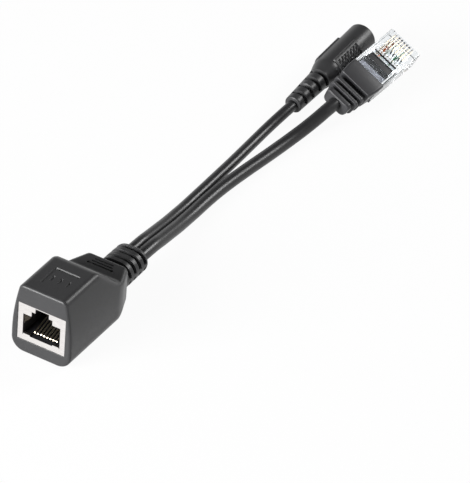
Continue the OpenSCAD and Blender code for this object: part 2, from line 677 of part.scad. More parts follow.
module plug_body() {
    slot_w = blade_thickness + 0.1;
    g = fit_gap;
    color(clear_grey, 0.4) at_plug() difference() {
        union() {
            slab(plug_start, plug_nose - 0.5, plug_width, plug_height, 0.3);
            slab(plug_nose - 0.51, plug_nose, plug_width - 0.7, plug_height - 0.7, 0.3);
            plug_latch();
        }
        // Cavity from the rear, for the moulding and the row of wires
        translate([-plug_cavity_w / 2, plug_start - cut, -plug_cavity_h / 2])
            cube([plug_cavity_w, plug_cavity_length + cut, plug_cavity_h]);
        // Bores that hold the wires under the blades
        translate([-4.3, plug_start + plug_cavity_length - cut, wire_row_z - data_wire_d / 2 - 0.05])
            cube([8.6, wire_end - plug_start - plug_cavity_length + cut + 0.1, data_wire_d + 0.1]);
        // Clamp recess in the face, with a narrow recess for the crimp bar in front of it
        translate([-clamp_width / 2, clamp_start, 0]) cube([clamp_width, clamp_length, plug_height]);
        translate([-4.3, clamp_start + clamp_length + 1.1, wire_row_z + data_wire_d / 2 + 0.5])
            cube([8.6, 1.3, plug_height]);
        // A slot for each blade, open upwards and forwards
        for (n = [1:pin_count]) translate([pin_x(n) - slot_w / 2, blade_front - blade_length - 0.1, blade_top - blade_height - g])
            cube([slot_w, blade_length + 2, blade_height + cut + 1]);
    }
}
module plug_latch() {
    // Lever moulded with the body, held down by the guard; its neck narrows at the free end
    root = plug_nose - 1.2;
    lever = 14;
    wide = 6;
    narrow = 3.4;
    t = 0.7;
    lift = 0.35;         // air between the lever and the body
    base = -plug_height / 2;
    end_drop = 0.5;
    intersection() {
        along_x(wide) polygon([
            [root, base + 0.3], [root - 1.4, base + 0.3], [root - 1.5, base - 0.1], [root - 2.2, base - lift],
            [root - lever, base - end_drop], [root - lever, base - end_drop - t], [root - 2, base - lift - t + 0.05],
            [root - 0.4, base - 0.4]
        ]);
        translate([0, 0, base - 3]) linear_extrude(4) polygon([
            [-wide / 2, root + 1], [wide / 2, root + 1], [wide / 2, root - 8], [narrow / 2, root - 9],
            [narrow / 2, root - lever - 1], [-narrow / 2, root - lever - 1], [-narrow / 2, root - 9], [-wide / 2, root - 8]
        ]);
    }
}
module plug_blade(n) {
    // Stamped blade: its upper front corner is rounded, its lower edge has two teeth into the wire row
    tooth = 0.5;
    r = 0.8;
    y0 = blade_front - blade_length;
    bottom = blade_top - blade_height + tooth;
    color(gold) at_plug() translate([pin_x(n), 0, 0]) along_x(blade_thickness) polygon(concat(
        [[y0, blade_top], [y0, bottom], [y0 + 1.2, bottom], [y0 + 1.5, bottom - tooth], [y0 + 1.8, bottom],
         [y0 + 3.8, bottom], [y0 + 4.1, bottom - tooth], [y0 + 4.4, bottom], [blade_front, bottom]],
        arc([blade_front - r, blade_top - r], r, 0, 90, 5)));
}
module plug_wire(n, k) {
    // From the lead's end through the boot, spreading on two levels, then down or up into the row
    dx = k < 2 ? -data_offset : data_offset;
    dz = k % 2 == 0 ? data_offset : -data_offset;
    x = pin_x(n);
    color(wire_colours[k]) at_plug() tube([
        [dx, 0, dz], [dx, plug_start - 3.4, dz], [dx * 0.7 + x * 0.3, plug_start - 1.4, dz * 1.2],
        [x, plug_start + 3, dz * 1.3], [x, plug_start + 6, dz], [x, plug_start + 9.4, wire_row_z],
        [x, plug_start + 11, wire_row_z], [x, wire_end, wire_row_z]
    ], data_wire_d, 8, [0, 1, 0], [0, 1, 0]);
}

housing();
jack_shield();
jack_insert();
jack_contact(1);  // jack_contact_1
jack_contact(2);  // jack_contact_2
jack_contact(3);  // jack_contact_3
jack_contact(4);  // jack_contact_4
jack_contact(5);  // jack_contact_5
jack_contact(6);  // jack_contact_6
jack_contact(7);  // jack_contact_7
jack_contact(8);  // jack_contact_8
data_wire(1, 3.5, 5.5, 1, -1, wire_colours[0]);  // data_wire_1
data_wire(2, 2.5, 7.2, 1, 1, wire_colours[1]);  // data_wire_2
data_wire(3, 1.45, 7.2, -1, 1, wire_colours[2]);  // data_wire_3
data_wire(6, -1.4, 5.3, -1, -1, wire_colours[3]);  // data_wire_6
power_wire(5, -0.55, 7.4, 1, "#a8322c");  // power_wire_plus
power_wire(8, -3.45, 5.3, -1, "#1d1d1f");  // power_wire_minus
power_lead();
power_socket();
socket_insulator();
socket_sleeve();
socket_pin();
network_lead();
plug_boot();
plug_body();
plug_blade(1);  // plug_blade_1
plug_blade(2);  // plug_blade_2
plug_blade(3);  // plug_blade_3
plug_blade(4);  // plug_blade_4
plug_blade(5);  // plug_blade_5
plug_blade(6);  // plug_blade_6
plug_blade(7);  // plug_blade_7
plug_blade(8);  // plug_blade_8
plug_wire(1, 0);  // plug_wire_1
plug_wire(2, 1);  // plug_wire_2
plug_wire(3, 2);  // plug_wire_3
plug_wire(6, 3);  // plug_wire_6
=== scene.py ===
"""A short power-over-network adapter cable: a moulded housing with a shielded network jack, and two
leads that leave it through one strain relief, to a round power socket and to a clear network plug.

Sizes are in millimetres and are turned into metres where a mesh is made. X runs across the jack,
Y along the leads and Z up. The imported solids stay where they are, and each surface made here lies
over the solid that it replaces.
"""
import bpy
import numpy as np
from mathutils import Matrix


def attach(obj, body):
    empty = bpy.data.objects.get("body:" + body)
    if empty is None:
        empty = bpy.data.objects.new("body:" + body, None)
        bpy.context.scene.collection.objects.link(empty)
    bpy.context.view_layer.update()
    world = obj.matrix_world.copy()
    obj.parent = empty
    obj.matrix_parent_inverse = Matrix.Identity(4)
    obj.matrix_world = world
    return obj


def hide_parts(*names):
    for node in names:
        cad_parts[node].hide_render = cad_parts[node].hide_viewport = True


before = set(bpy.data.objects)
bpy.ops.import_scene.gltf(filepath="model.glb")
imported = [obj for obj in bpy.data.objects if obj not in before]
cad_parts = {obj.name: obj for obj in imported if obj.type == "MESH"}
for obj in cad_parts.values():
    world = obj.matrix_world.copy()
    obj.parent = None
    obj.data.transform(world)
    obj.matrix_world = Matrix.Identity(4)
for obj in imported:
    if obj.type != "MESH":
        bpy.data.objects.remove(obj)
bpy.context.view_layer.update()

# Viewpoint
# The cable is seen from the front right and from well above, through a long lens, so that
# its parallel edges stay almost parallel. The camera leans a little to one side.
azimuth, elevation, lean = np.radians([28.64, 36.27, 4.50])
camera_place = (0.5667, -0.9549, 0.8442)
focal_length_px = 5000
frame_height_px = 483
back = np.array([
    np.sin(azimuth) * np.cos(elevation), -np.cos(azimuth) * np.cos(elevation), np.sin(elevation)
])
level = np.array([np.cos(azimuth), np.sin(azimuth), 0])
down = np.cross(-back, level)
camera_right = np.cos(lean) * level - np.sin(lean) * down
camera_down = np.sin(lean) * level + np.cos(lean) * down
camera = bpy.data.objects.new("viewpoint", bpy.data.cameras.new("viewpoint"))
bpy.context.scene.collection.objects.link(camera)
camera.matrix_world = Matrix(
    [(camera_right[i], -camera_down[i], back[i], camera_place[i]) for i in range(3)] + [(0, 0, 0, 1)]
)
camera.data.lens = focal_length_px * camera.data.sensor_width / frame_height_px
camera.data.clip_start = 0.05
camera.data.clip_end = 20
bpy.context.scene.camera = camera

# Leads
# Two round leads with extruded PVC sheaths, the thin one for power and the thicker one for data.
# They leave the strain relief side by side, sink to the surface and rise again to their end pieces.
MM = 0.001
relief_end_y = 23.9
lead_axis_z = 6.7
power_lead_d = 3.4
network_lead_d = 4.0
lead_embed = 0.4
socket_exit = (-3.7, 118.4, 3.9)
socket_turn = dict(pitch=3, yaw=0, roll=-15)
plug_exit = (7.51, 123.69, 6.19)
plug_turn = dict(pitch=4, yaw=5, roll=26)
power_route = [
    (-2.03, relief_end_y, lead_axis_z), (-2.1, 31.6, 6.4), (-2.4, 36.6, 5.5), (-2.8, 41.6, 4.5),
    (-3.2, 46.6, 3.5), (-3.6, 51.6, 2.7), (-3.9, 57.6, 2.05), (-4.1, 63.6, 1.8), (-4.2, 70.6, 1.75),
    (-4.3, 77.6, 1.75), (-4.4, 84.6, 1.75), (-4.6, 91.6, 1.75),
    (-4.8, 98.6, 1.8), (-4.8, 104.6, 2.1), (-4.5, 109.6, 2.7), (-4, 114.1, 3.45), socket_exit,
]
network_route = [
    (1.73, relief_end_y, lead_axis_z), (1.65, 31.6, 6.4), (1.35, 36.6, 5.5), (0.95, 41.6, 4.55),
    (0.55, 46.6, 3.6), (0.15, 51.6, 2.85), (-0.15, 57.6, 2.3), (-0.3, 63.6, 2.1), (-0.2, 69.6, 2.05),
    (0.2, 75.6, 2.05), (0.8, 81.6, 2.05), (1.5, 87.6, 2.05), (2.25, 93.6, 2.05), (3, 99.6, 2.15),
    (3.95, 105.6, 2.6), (5.1, 111.1, 3.5), (6.2, 116.1, 4.65), (6.9, 119.6, 5.54), plug_exit,
]


def heading(pitch, yaw, roll=0):
    """Direction of an end piece's axis: +Y raised by the pitch, then turned towards +X by the yaw."""
    p, y = np.radians([pitch, yaw])
    return np.array([np.sin(y) * np.cos(p), np.cos(y) * np.cos(p), np.sin(p)])


def spline(points, first, last, step):
    """Smooth curve through chosen points. Between two points it is the cubic that leaves each one
    along the chord of its neighbours, and at the ends along the two directions given."""
    p = np.array(points, float)
    chord = np.linalg.norm(np.diff(p, axis=0), axis=1)
    slope = np.vstack([[first], (p[2:] - p[:-2]) / (chord[1:] + chord[:-1])[:, None], [last]])
    place = np.concatenate([[0], np.cumsum(chord)])
    s = np.linspace(0, place[-1], int(place[-1] / step) + 1)
    i = np.clip(np.searchsorted(place, s, side="right") - 1, 0, len(chord) - 1)
    h = chord[i][:, None]
    t = ((s - place[i]) / chord[i])[:, None]
    from_near = (1 + 2 * t) * (1 - t) ** 2 * p[i] + t * (1 - t) ** 2 * h * slope[i]
    to_far = t ** 2 * (3 - 2 * t) * p[i + 1] - t ** 2 * (1 - t) * h * slope[i + 1]
    return from_near + to_far


def rings_along(path, radius, sides):
    """Round tube: ring points lie at path + radius (cos v N + sin v B), where N is level and square
    to the path, and B is square to both."""
    along = np.gradient(path, axis=0)
    along /= np.linalg.norm(along, axis=1)[:, None]
    n = np.cross(along, [0, 0, 1])
    n /= np.linalg.norm(n, axis=1)[:, None]
    b = np.cross(n, along)
    v = np.linspace(0, 2 * np.pi, sides, endpoint=False)[None, :, None]
    return path[:, None] + radius * (np.cos(v) * n[:, None] + np.sin(v) * b[:, None])


def skin(name, rows, sharp_angle=32):
    """Closed mesh over rings of points: each ring is joined to the next by quads, and the first and
    last ring are closed by fans to their middles. Its UV map is the length along and round, in metres."""
    rings, sides = rows.shape[:2]
    points = np.vstack([rows.reshape(-1, 3), rows[[0, -1]].mean(axis=1)]) * MM
    ring, side = [a.ravel() for a in np.meshgrid(np.arange(rings - 1), np.arange(sides), indexing="ij")]
    ahead = (side + 1) % sides
    here, beyond = ring * sides, (ring + 1) * sides
    quads = np.stack([here + side, beyond + side, beyond + ahead, here + ahead], 1)
    j = np.arange(sides)
    k = (j + 1) % sides
    last = (rings - 1) * sides
    near = np.stack([np.full(sides, rings * sides), j, k], 1)
    far = np.stack([np.full(sides, rings * sides + 1), last + k, last + j], 1)
    mesh = bpy.data.meshes.new(name)
    mesh.from_pydata(points.tolist(), [], quads.tolist() + near.tolist() + far.tolist())
    step = np.linalg.norm(np.diff(rows, axis=0), axis=2).mean(axis=1)
    length = np.concatenate([[0], np.cumsum(step)]) * MM
    girth = np.linalg.norm(rows[:, 1] - rows[:, 0], axis=1).mean() * MM
    u = np.stack([length[ring], length[ring + 1], length[ring + 1], length[ring]], 1)
    v = np.stack([side, side, side + 1, side + 1], 1) * girth
    uv = np.concatenate([np.stack([u, v], 2).reshape(-1, 2), np.zeros((6 * sides, 2))])
    mesh.uv_layers.new(name="lengthwise").data.foreach_set("uv", uv.astype(np.float32).ravel())
    mesh.shade_smooth()
    mesh.set_sharp_from_angle(angle=np.radians(sharp_angle))
    piece = bpy.data.objects.new(name, mesh)
    bpy.context.scene.collection.objects.link(piece)
    return piece


def linear(colour):
    """Linear red, green, blue and alpha of an sRGB hex colour: each channel c becomes
    ((c + 0.055) / 1.055) to the power 2.4, or c / 12.92 near black."""
    c = np.array([int(colour[i:i + 2], 16) for i in (1, 3, 5)]) / 255
    return (*np.where(c > 0.04045, ((c + 0.055) / 1.055) ** 2.4, c / 12.92), 1)


def add_node(tree, kind, settings=None, **inputs):
    """Adds one node. Settings are its own options; inputs are values, or outputs of other nodes."""
    node = tree.nodes.new("ShaderNode" + kind)
    for key, value in (settings or {}).items():
        setattr(node, key, value)
    for key, value in inputs.items():
        socket = node.inputs[int(key[1:])] if key[1:].isdigit() else node.inputs[key.replace("_", " ")]
        if isinstance(value, bpy.types.NodeSocket):
            tree.links.new(value, socket)
        else:
            socket.default_value = value
    return node


def moulded_pvc(name, colour, light_colour, roughness, grain_mm, grain_depth_mm, specular=0.32):
    """Soft black PVC. Its base colour wanders a little over centimetres, its gloss over millimetres,
    and a fine grain from the tool's spark-eroded face breaks up the highlights."""
    material = bpy.data.materials.new(name)
    material.use_nodes = True
    tree = material.node_tree
    shader = tree.nodes["Principled BSDF"]
    place = add_node(tree, "TexCoord").outputs["Object"]
    cloud = add_node(tree, "TexNoise", Vector=place, Scale=90.0, Detail=3.0).outputs["Fac"]
    mix = add_node(tree, "Mix", {"data_type": "RGBA"}, Factor=cloud, _6=linear(colour),
                   _7=linear(light_colour))
    tree.links.new(mix.outputs[2], shader.inputs["Base Color"])
    patch = add_node(tree, "TexNoise", Vector=place, Scale=600.0, Detail=4.0).outputs["Fac"]
    gloss = add_node(tree, "MapRange", Value=patch, To_Min=roughness - 0.06, To_Max=roughness + 0.06)
    tree.links.new(gloss.outputs["Result"], shader.inputs["Roughness"])
    grain = add_node(tree, "TexNoise", Vector=place, Scale=1 / (grain_mm * MM), Detail=2.0).outputs["Fac"]
    bump = add_node(tree, "Bump", Height=grain, Distance=grain_depth_mm * MM, Strength=0.6)
    tree.links.new(bump.outputs["Normal"], shader.inputs["Normal"])
    shader.inputs["IOR"].default_value = 1.52
    shader.inputs["Specular IOR Level"].default_value = specular
    return material


# Extruded PVC is a little glossier than a moulding, and gives each lead one long soft highlight
sheath = moulded_pvc("extruded_pvc_sheath", "#232324", "#2a2a2b", 0.33, 0.28, 0.003)


def lead(name, route, last, diameter):
    """One lead: its tube follows the route and runs a little way into the pieces at both ends."""
    path = spline(route, (0, 1, 0), last, 0.75)
    path = np.vstack([path[0] - (0, lead_embed, 0), path, path[-1] + lead_embed * np.array(last)])
    piece = skin(name + "_sheath", rings_along(path, diameter / 2, 40))
    piece.data.materials.append(sheath)
    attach(piece, "root")
    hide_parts(name)


# Housing
# One overmoulding of black PVC, with the strain relief in one piece with it. Its lower corners are
# large and round, its sides lean in towards a flat top, and a slope leads down to the rear.
housing_front = -23.9
housing_rear = 10.1
housing_height = 22.6
widest_half = 9.7
widest_z = 7.0
top_end_y = -6.9
lower_flat_z = 14.0
slope_foot_y = 2.6
rear_half = 6.7
side_lean = 2.15
corner_r = 0.8
slope_foot_r = 0.7
slope_head_r = 1.0
lower_edge_r = 4.2
upper_edge_r = 1.5
end_edge_r = 0.8
axis_z = 6.7
relief_half_w = 5.3
relief_half_h = 4.0
pocket_half = 7.72
pocket_z = (4.28, 16.52)
pocket_depth = 17.22
chamber_half = 5.5
chamber_z = (4.6, 11.2)
chamber_end = 7.7


def meet(a, b, r):
    """Two surfaces given as distances, positive outside, meet in a round edge of radius r: where both
    are nearer than r, the distance is that from the edge's own circle."""
    return np.minimum(-r, np.maximum(a, b)) + np.hypot(np.maximum(a + r, 0), np.maximum(b + r, 0))


def slant(run, rise, along, up):
    """Distance from a straight face through the origin that goes up by rise over run."""
    return (up * run - along * rise) / np.hypot(run, rise)


def housing_distance(x, y, z):
    """Distance outside the housing: its sides, chamfered rear corners, underside, top, slope, lower
    flat and two ends, each rounded into the next."""
    above = np.clip((z - widest_z) / (housing_height - widest_z), 0, None)
    side = np.abs(x) - (widest_half - side_lean * above ** 1.8)
    corner = slant(rear_half - widest_half, housing_rear - slope_foot_y,
                   np.abs(x) - widest_half, y - slope_foot_y)
    slope = slant(slope_foot_y - top_end_y, lower_flat_z - housing_height, y - top_end_y, z - housing_height)
    lower = -meet(lower_flat_z - z, -slope, slope_foot_r)
    top = meet(lower, z - housing_height, slope_head_r)
    wall = meet(meet(side, -corner, corner_r), -z, lower_edge_r)
    body = meet(wall, top, upper_edge_r)
    return meet(meet(body, housing_front - y, end_edge_r), y - housing_rear, end_edge_r)


def outline(distance, y, turn, reach=30):
    """Outline of a solid at each y: along each ray from the axis, the place where the distance
    changes sign, found by halving the interval."""
    y = np.asarray(y, float)[:, None]
    near = np.zeros((len(y), len(turn)))
    far = np.full_like(near, reach)
    for _ in range(36):
        middle = (near + far) / 2
        outside = distance(middle * np.cos(turn), y, axis_z + middle * np.sin(turn)) > 0
        far = np.where(outside, middle, far)
        near = np.where(outside, near, middle)
    return np.stack([far * np.cos(turn), np.broadcast_to(y, far.shape), axis_z + far * np.sin(turn)], 2)


def box_outline(half, low, high, y, turn):
    """Rectangle at one y, met by rays from the axis at the given angles."""
    reach = 1 / np.maximum.reduce([
        np.abs(np.cos(turn)) / half, np.sin(turn) / (high - axis_z), -np.sin(turn) / (axis_z - low)
    ])
    return np.stack([reach * np.cos(turn), np.full_like(turn, y), axis_z + reach * np.sin(turn)], 1)[None]


def smooth_step(t):
    """Zero below 0, one above 1, and 3 t squared minus 2 t cubed between."""
    t = np.clip(t, 0, 1)
    return t * t * (3 - 2 * t)


groove_width = 1.05
groove_pitch = 2.7
groove_starts = relief_end_y - 1.4 - groove_width - groove_pitch * np.arange(4)
groove_depth = 1.3
rib_half = 0.6
relief_taper = 0.016
flare_rise = 0.5
flare_length = 0.8


def relief_distance(x, y, z):
    """Distance outside the strain relief: a bar with round sides, with four grooves round it that stop
    at a rib on each side, flared where it joins the housing and rounded where it ends."""
    bar = np.hypot(np.maximum(np.abs(x) - (relief_half_w - relief_half_h), 0), z - axis_z) - relief_half_h
    groove = sum(
        smooth_step((y - s) / 0.2 + 0.5) * smooth_step((s + groove_width - y) / 0.2 + 0.5)
        for s in groove_starts
    )
    clear_of_ribs = smooth_step((np.abs(z - axis_z) - rib_half) / 0.4 + 0.5)
    flare = flare_rise * np.clip(1 - (y - housing_rear) / flare_length, 0, 1) ** 2
    flare = flare + relief_taper * (relief_end_y - y)
    return bar + groove_depth * clear_of_ribs * groove - flare


def housing_rows():
    """Rings from the chamber's rear wall forwards through the pocket, round the front edge, back over
    the outside, across the rear face and along the strain relief to its end."""
    corners = [np.arctan2(z - axis_z, half) for half, zs in
               ((pocket_half, pocket_z), (chamber_half, chamber_z)) for z in zs]
    corners = np.array(corners + [np.pi - a for a in corners]) % (2 * np.pi)
    even = np.linspace(0, 2 * np.pi, 420, endpoint=False)
    apart = np.abs((even[:, None] - corners + np.pi) % (2 * np.pi) - np.pi).min(axis=1)
    turn = np.sort(np.concatenate([even[apart > np.radians(0.3)], corners]))
    mouth = 0.15
    rows = [
        box_outline(chamber_half, *chamber_z, chamber_end, turn),
        box_outline(chamber_half, *chamber_z, housing_front + pocket_depth, turn),
        box_outline(pocket_half, *pocket_z, housing_front + pocket_depth, turn),
    ]
    for a in np.radians([0, 30, 60, 90]):
        grow = mouth * (1 - np.cos(a))
        rows.append(box_outline(pocket_half + grow, pocket_z[0] - grow, pocket_z[1] + grow,
                                housing_front + mouth * (1 - np.sin(a)), turn))
    edge = end_edge_r * (1 - np.cos(np.radians(np.linspace(0, 90, 8))))
    skin_y = np.concatenate([
        housing_front + edge, np.linspace(-22.4, -8.9, 6), np.linspace(-8.2, -5.6, 14),
        np.linspace(-4.8, 0.6, 6),
        np.linspace(1.0, 3.8, 16), np.linspace(4.4, 9.0, 8), (housing_rear - edge)[::-1],
    ])
    # Just inside the end faces, where the distance still tells inside from outside
    outside = outline(housing_distance, np.clip(skin_y, housing_front + 1e-4, housing_rear - 1e-4), turn)
    outside[0, :, 1] = housing_front
    outside[-1, :, 1] = housing_rear
    inner = rows[-1][0]
    rows += [(inner * (1 - t) + outside[0] * t)[None] for t in (0.1, 0.5, 0.9)]
    rows.append(outside)
    groove_y = np.concatenate([s + np.linspace(-0.25, groove_width + 0.25, 16)
                               for s in np.sort(groove_starts)])
    end_r = 1.1
    end_turn = np.radians(np.linspace(0, 88, 8))
    relief_y = np.concatenate([housing_rear + np.linspace(0, 0.8, 6), [11.8, 12.4], groove_y])
    end_y = relief_end_y - end_r + end_r * np.sin(end_turn)
    relief = outline(relief_distance, np.concatenate([relief_y, end_y]), turn)
    # The end is rounded by drawing its rings in towards the axis
    inset = np.concatenate([np.zeros(len(relief_y)), end_r * (1 - np.cos(end_turn))])
    radial = relief - np.array([0, 0, axis_z])
    radial[:, :, 1] = 0
    size = np.linalg.norm(radial, axis=2, keepdims=True)
    relief -= radial / size * inset[:, None, None]
    rows += [(outside[-1] * (1 - t) + relief[0] * t)[None] for t in (0.1, 0.5, 0.9)]
    rows.append(relief)
    rows.append((relief[-1] * 0.5 + np.array([0, relief_end_y, axis_z]) * 0.5)[None])
    return np.vstack(rows)


def engraving(name, x0, y0, x1, y1, surface, width, bottom, depth):
    """Cutter for one engraved line between two points: a bar with half-round ends whose walls lean
    outwards, so that the cut is narrow at its bottom and has its full width at the surface."""
    run = np.array([x1 - x0, y1 - y0], float)
    course = np.arctan2(run[1], run[0])
    turn = np.linspace(np.pi / 2, -np.pi / 2, 9)
    ends = np.repeat([[x1, y1], [x0, y0]], 9, axis=0)
    angle = course + np.concatenate([turn, turn - np.pi])
    spread = np.stack([np.cos(angle), np.sin(angle)], 1)
    lean = (width - bottom) / 2 / depth
    rows = [np.column_stack([ends + (width / 2 + lean * up) * spread, np.full(18, surface + up)])
            for up in (-depth, 0.3)]
    return skin(name, np.array(rows))


def engrave(piece, cutters):
    """Cuts the engraved lines out of a piece, and keeps the result as its mesh."""
    for cutter in cutters:
        cut = piece.modifiers.new(cutter.name, "BOOLEAN")
        cut.object = cutter
        cut.solver = "EXACT"
    shaped = bpy.data.meshes.new_from_object(piece.evaluated_get(bpy.context.evaluated_depsgraph_get()))
    piece.modifiers.clear()
    old = piece.data
    piece.data = shaped
    bpy.data.meshes.remove(old)
    for cutter in cutters:
        bpy.data.meshes.remove(cutter.data)


housing = skin("housing_moulding", housing_rows())
# A corner line and three plain bars on the top face, three lines with dots on the lower flat
top_marks = [(-3.4, -11.9, 4.1, -11.9), (-3.4, -11.9, -3.4, -19.2)]
top_marks += [(x, -17.3, x, -15.5) for x in (-1.8, 0.8, 3.4)]
flat_marks = [(-3.6 + 0.4 * i, 5.9 + 1.15 * i, 3.6 - 0.4 * i, 5.9 + 1.15 * i) for i in range(3)]
dots = [(x, 5.9, x, 5.9) for x in (-3.8, 3.8)]
# Surface height, width at the surface, width at the bottom and depth of each kind of mark
top_cut = (housing_height, 0.8, 0.2, 0.4)
flat_cut = (lower_flat_z, 0.55, 0.35, 0.5)
dot_cut = (lower_flat_z, 0.95, 0.7, 0.6)
cutters = [engraving(f"top_mark_{i}", *m, *top_cut) for i, m in enumerate(top_marks)]
cutters += [engraving(f"flat_mark_{i}", *m, *flat_cut) for i, m in enumerate(flat_marks)]
cutters += [engraving(f"dot_{i}", *m, *dot_cut) for i, m in enumerate(dots)]
engrave(housing, cutters)
housing.data.set_sharp_from_angle(angle=np.radians(32))
# Moulded PVC: a satin black that stays dark on flat faces and draws soft light lines along its edges
soft_black = moulded_pvc("moulded_black_pvc", "#2e2e2f", "#363637", 0.37, 0.16, 0.010, specular=0.28)
housing.data.materials.clear()
housing.data.materials.append(soft_black)
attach(housing, "root")
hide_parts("housing")


# Network jack
# A folded box of nickel-plated sheet round a black insert, with eight gold-plated sprung contacts
# that rise from slots in the port's floor. The shield's own fingers stand in at both sides.
def plated(name, colour, roughness, streak_mm):
    """Bright plated sheet: its gloss varies in fine streaks left by rolling and stamping."""
    material = bpy.data.materials.new(name)
    material.use_nodes = True
    tree = material.node_tree
    shader = tree.nodes["Principled BSDF"]
    place = add_node(tree, "TexCoord").outputs["Object"]
    stretched = add_node(tree, "Mapping", Vector=place, Scale=(0.15, 1.0, 1.0)).outputs["Vector"]
    fine = 1 / (streak_mm * MM)
    streak = add_node(tree, "TexNoise", Vector=stretched, Scale=fine, Detail=2.0).outputs["Fac"]
    gloss = add_node(tree, "MapRange", Value=streak, To_Min=roughness - 0.05, To_Max=roughness + 0.08)
    tree.links.new(gloss.outputs["Result"], shader.inputs["Roughness"])
    shade = add_node(tree, "Mix", {"data_type": "RGBA"}, Factor=streak, _6=linear(colour),
                     _7=linear("#efecea"))
    tree.links.new(shade.outputs[2], shader.inputs["Base Color"])
    bump = add_node(tree, "Bump", Height=streak, Distance=0.002 * MM, Strength=0.5)
    tree.links.new(bump.outputs["Normal"], shader.inputs["Normal"])
    shader.inputs["Metallic"].default_value = 1.0
    return material


def dress(names, material):
    """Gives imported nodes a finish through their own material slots."""
    for name in names:
        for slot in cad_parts[name].material_slots:
            slot.material = material


# Nickel gives the jack its near-white frame, gold the yellow glints of the contacts, and the filled
# nylon of the insert a dark inside with a faint sheen
nickel = plated("nickel_plated_sheet", "#dedad8", 0.28, 0.2)
gold = plated("gold_plated_bronze", "#ead29a", 0.3, 0.1)
insert_black = moulded_pvc("glass_filled_nylon", "#232326", "#2b2b2e", 0.42, 0.12, 0.006)
contact_numbers = range(1, 9)
dress(["jack_shield"], nickel)
dress(["jack_insert"], insert_black)
dress([f"jack_contact_{i}" for i in contact_numbers], gold)


# Wires in the housing
# Insulated stranded wires soldered to the contact tails, two for power and four for data.
def insulation(name, colour):
    """Thin glossy wire insulation, a little uneven in tone along its length."""
    material = bpy.data.materials.new(name)
    material.use_nodes = True
    tree = material.node_tree
    shader = tree.nodes["Principled BSDF"]
    place = add_node(tree, "TexCoord").outputs["Object"]
    cloud = add_node(tree, "TexNoise", Vector=place, Scale=400.0).outputs["Fac"]
    tone = add_node(tree, "BrightContrast", Color=linear(colour), Contrast=0.02)
    mix = add_node(tree, "Mix", {"data_type": "RGBA"}, Factor=cloud, _6=linear(colour),
                   _7=tone.outputs["Color"])
    tree.links.new(mix.outputs[2], shader.inputs["Base Color"])
    shader.inputs["Roughness"].default_value = 0.35
    return material


wire_colours = {1: "#efe0cc", 2: "#c4622a", 3: "#e2ecdf", 6: "#2f8a5e"}
insulations = {n: insulation(f"wire_{n}_insulation", c) for n, c in wire_colours.items()}
for number, material in insulations.items():
    dress([f"data_wire_{number}"], material)
dress(["power_wire_plus"], insulation("red_insulation", "#a8322c"))
dress(["power_wire_minus"], insulation("black_insulation", "#1d1d1f"))


# Power socket
# A moulded barrel with a ringed strain relief of its own, two raised grips cut by slanting grooves,
# and in its mouth an insulator that holds the sleeve contact and the centre pin.
def placed(rows, at, pitch, yaw, roll):
    """Turns points about their own Y axis by the roll, raises them by the pitch about X, turns them by
    the yaw about Z, and moves them to their place."""
    p, y, r = np.radians([pitch, -yaw, roll])
    about_y = np.array([[np.cos(r), 0, np.sin(r)], [0, 1, 0], [-np.sin(r), 0, np.cos(r)]])
    about_x = np.array([[1, 0, 0], [0, np.cos(p), -np.sin(p)], [0, np.sin(p), np.cos(p)]])
    about_z = np.array([[np.cos(y), -np.sin(y), 0], [np.sin(y), np.cos(y), 0], [0, 0, 1]])
    return rows @ (about_z @ about_x @ about_y).T + np.array(at)


socket_relief_end = 15.2
barrel_start = 19.3
socket_end = 41.0
barrel_r = 4.5
seat_r = 3.82
seat_depth = 12.5
ring_pitch = socket_relief_end / 4
ring_width = ring_pitch * 0.62
core_r = 2.15
grip_start = barrel_start + 1.3
grip_end = grip_start + 12.5
grip_half = np.radians(56)
grip_rise = 0.5
knurl_pitch = 1.6
knurl_slope = 1.08
knurl_depth = 0.26
cross_slope = 0.6
cross_depth = 0.06
rib_turn = np.radians(40)


